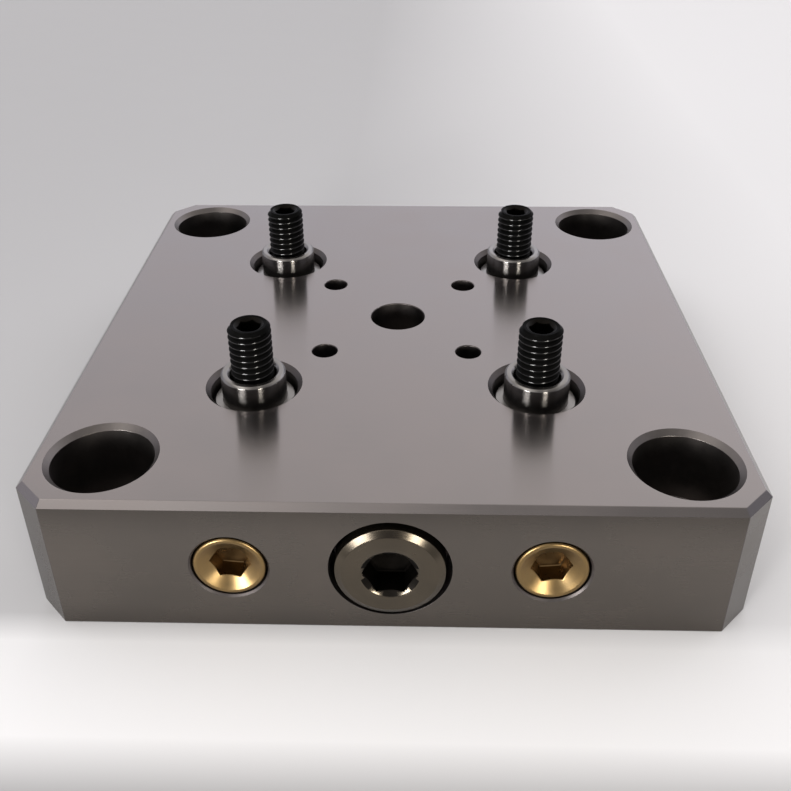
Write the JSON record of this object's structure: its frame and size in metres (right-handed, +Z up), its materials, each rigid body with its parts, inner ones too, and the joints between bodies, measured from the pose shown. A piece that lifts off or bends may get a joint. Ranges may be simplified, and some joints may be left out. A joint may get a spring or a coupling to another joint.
{
  "type": "zero-point clamping base plate",
  "caption": "Square ground-steel clamping base with pull studs standing in pockets, a hex-driven spindle that spreads locking pins, brass plugs and counterbored corner holes.",
  "frame": {"origin": "middle of the underside, at the plate's centre", "axes": "+X to the right along the front face, +Y from the front face with the drive spindle to the rear, +Z up out of the top face"},
  "size_m": [0.12, 0.1211, 0.0388],
  "materials": {
    "ground_steel": "ground hardened steel, satin",
    "machined_steel": "machined dark steel",
    "polished_steel": "polished hardened steel",
    "black_oxide": "black oxide, oiled",
    "brass": "turned brass",
    "bronze": "turned bronze",
    "spring_steel": "blued spring steel"
  },
  "bodies": {
    "base": {"base_plate": "ground_steel", "bottom_cover": "machined_steel", "cover_screw_front_left": "black_oxide", "cover_screw_front_right": "black_oxide", "cover_screw_rear_left": "black_oxide", "cover_screw_rear_right": "black_oxide", "thrust_washer": "bronze", "shim_washer": "spring_steel", "rear_bush": "bronze", "brass_plug_left": "brass", "brass_plug_right": "brass"},
    "spindle": {"drive_spindle": "machined_steel", "retaining_ring": "spring_steel"},
    "front_slide": {"front_yoke": "machined_steel", "locking_pin_front_left": "polished_steel", "locking_pin_front_right": "polished_steel"},
    "rear_slide": {"rear_yoke": "machined_steel", "locking_pin_rear_left": "polished_steel", "locking_pin_rear_right": "polished_steel"},
    "stud_front_left": {"pull_stud_front_left": "polished_steel", "set_screw_front_left": "black_oxide"},
    "stud_front_right": {"pull_stud_front_right": "polished_steel", "set_screw_front_right": "black_oxide"},
    "stud_rear_left": {"pull_stud_rear_left": "polished_steel", "set_screw_rear_left": "black_oxide"},
    "stud_rear_right": {"pull_stud_rear_right": "polished_steel", "set_screw_rear_right": "black_oxide"}
  },
  "joints": [
    {"name": "drive_turn", "type": "hinge", "parent": "base", "child": "spindle", "pos_m": [0, -0.0611, 0.013], "axis": [0, 1, 0], "range_deg": [0, 900]},
    {"name": "front_lock", "type": "slide", "parent": "base", "child": "front_slide", "axis": [0, -1, 0], "range_m": [0, 0.00313]},
    {"name": "rear_lock", "type": "slide", "parent": "base", "child": "rear_slide", "axis": [0, 1, 0], "range_m": [0, 0.00313]},
    {"name": "lift_front_left", "type": "slide", "parent": "base", "child": "stud_front_left", "axis": [0, 0, 1], "range_m": [0, 0.024]},
    {"name": "lift_front_right", "type": "slide", "parent": "base", "child": "stud_front_right", "axis": [0, 0, 1], "range_m": [0, 0.024]},
    {"name": "lift_rear_left", "type": "slide", "parent": "base", "child": "stud_rear_left", "axis": [0, 0, 1], "range_m": [0, 0.024]},
    {"name": "lift_rear_right", "type": "slide", "parent": "base", "child": "stud_rear_right", "axis": [0, 0, 1], "range_m": [0, 0.024]}
  ],
  "couplings": [
    {"joint": "drive_turn", "follows": "front_lock", "rad_per_m": 5026.5},
    {"joint": "rear_lock", "follows": "front_lock", "ratio": 1}
  ]
}
